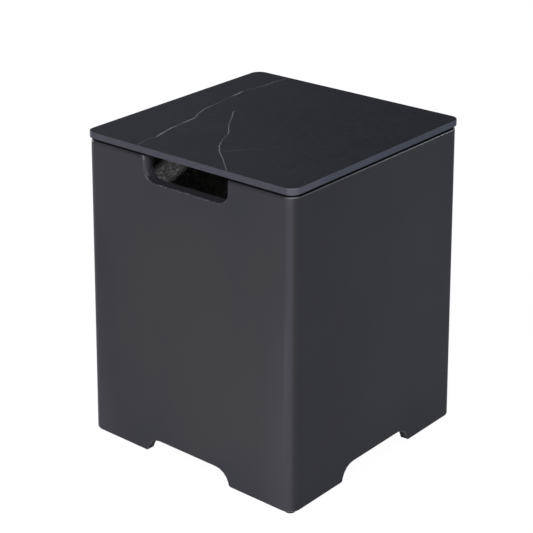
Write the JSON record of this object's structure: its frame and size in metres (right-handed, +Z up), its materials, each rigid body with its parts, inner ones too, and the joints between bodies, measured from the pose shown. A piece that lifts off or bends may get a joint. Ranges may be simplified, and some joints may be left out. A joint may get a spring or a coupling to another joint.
{
  "type": "propane tank cover table",
  "caption": "Square tapered cast cover with hand slots and floor arches hides a gas cylinder, and a loose veined stone slab makes it a side table.",
  "frame": {"origin": "middle of the footprint, on the floor under the foot glides", "axes": "+Z up, the front with a hand slot faces -Y, the back with the other slot faces +Y, +X to the right seen from the front"},
  "size_m": [0.424, 0.424, 0.519],
  "materials": {
    "cast_concrete": "matt dark grey glass-fibre reinforced concrete, smooth outside and rough inside",
    "sintered_stone": "honed near-black sintered stone with fine white veins",
    "bumper_rubber": "black rubber",
    "glide_nylon": "black moulded nylon",
    "locator_plastic": "dark grey moulded plastic",
    "bond_foam": "grey double-sided acrylic foam pad"
  },
  "bodies": {
    "base": {"cast_body": "cast_concrete", "rim_bumper_front_right": "bumper_rubber", "rim_bumper_back_right": "bumper_rubber", "rim_bumper_back_left": "bumper_rubber", "rim_bumper_front_left": "bumper_rubber", "foot_glide_front_right": "glide_nylon", "foot_glide_back_right": "glide_nylon", "foot_glide_back_left": "glide_nylon", "foot_glide_front_left": "glide_nylon"},
    "lid": {"tabletop": "sintered_stone", "locator_block_front_right": "locator_plastic", "locator_block_back_right": "locator_plastic", "locator_block_back_left": "locator_plastic", "locator_block_front_left": "locator_plastic", "bond_pad_front_right": "bond_foam", "bond_pad_back_right": "bond_foam", "bond_pad_back_left": "bond_foam", "bond_pad_front_left": "bond_foam"}
  },
  "joints": [
    {"name": "lid_lift", "type": "slide", "parent": "base", "child": "lid", "axis": [0, 0, 1], "range_m": [0, 0.15]}
  ]
}
